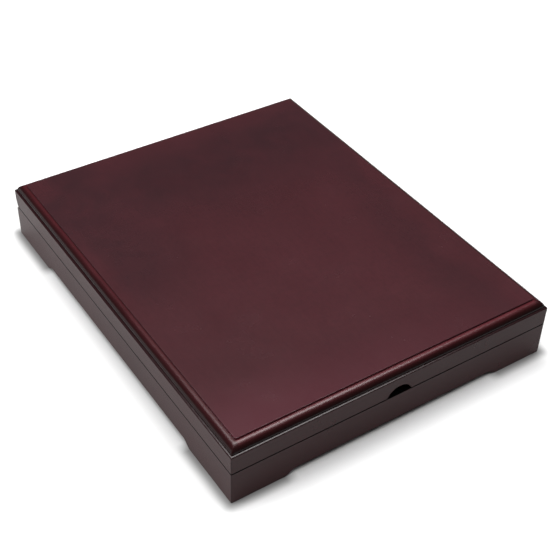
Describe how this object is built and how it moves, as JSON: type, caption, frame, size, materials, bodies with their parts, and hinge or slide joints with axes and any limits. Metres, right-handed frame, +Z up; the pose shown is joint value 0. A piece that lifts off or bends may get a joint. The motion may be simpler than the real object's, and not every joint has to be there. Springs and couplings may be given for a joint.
{
  "type": "coin display case",
  "caption": "Closed wooden coin display case with a hinged moulded lid, bracket feet, a finger notch and a lift-out tray with round wells.",
  "frame": {"origin": "middle of the footprint, on the surface the feet stand on", "axes": "+Z up; +X to the right along the front; the front, with the finger notch, faces -Y and the hinges are at +Y"},
  "size_m": [0.3, 0.374, 0.0564],
  "materials": {
    "wood": "satin lacquer, dark mahogany stain",
    "inner_wood": "unfinished plywood and softwood",
    "velvet": "black velvet flock",
    "felt": "felt",
    "satin": "ivory satin over foam",
    "card": "grey card, matte",
    "ribbon": "satin ribbon",
    "brass": "polished"
  },
  "bodies": {
    "base": {"base_front_rail": "wood", "base_back_rail": "wood", "base_left_rail": "wood", "base_right_rail": "wood", "base_bottom_panel": "inner_wood", "corner_glue_blocks": "inner_wood", "felt_foot_pads": "felt", "base_floor_lining": "velvet", "front_wall_lining": "velvet", "back_wall_lining": "velvet", "left_wall_lining": "velvet", "right_wall_lining": "velvet", "left_tray_ledger": "inner_wood", "right_tray_ledger": "inner_wood", "left_hinge_base_leaf": "brass", "right_hinge_base_leaf": "brass", "left_hinge_pin": "brass", "right_hinge_pin": "brass", "base_leaf_screws": "brass"},
    "lid": {"lid_top_panel": "wood", "lid_front_rail": "wood", "lid_back_rail": "wood", "lid_left_rail": "wood", "lid_right_rail": "wood", "lid_pad_card": "card", "lid_satin_pad": "satin", "left_hinge_lid_leaf": "brass", "right_hinge_lid_leaf": "brass", "lid_leaf_screws": "brass"},
    "tray": {"tray_board": "velvet", "tray_well_insert": "velvet", "front_ribbon_tab": "ribbon", "back_ribbon_tab": "ribbon"}
  },
  "joints": [
    {"name": "lid_hinge", "type": "hinge", "parent": "base", "child": "lid", "pos_m": [0, 0.184, 0.0317], "axis": [-1, 0, 0], "range_deg": [0, 118]},
    {"name": "tray_lift", "type": "slide", "parent": "base", "child": "tray", "axis": [0, 0, 1], "range_m": [0, 0.009]}
  ]
}
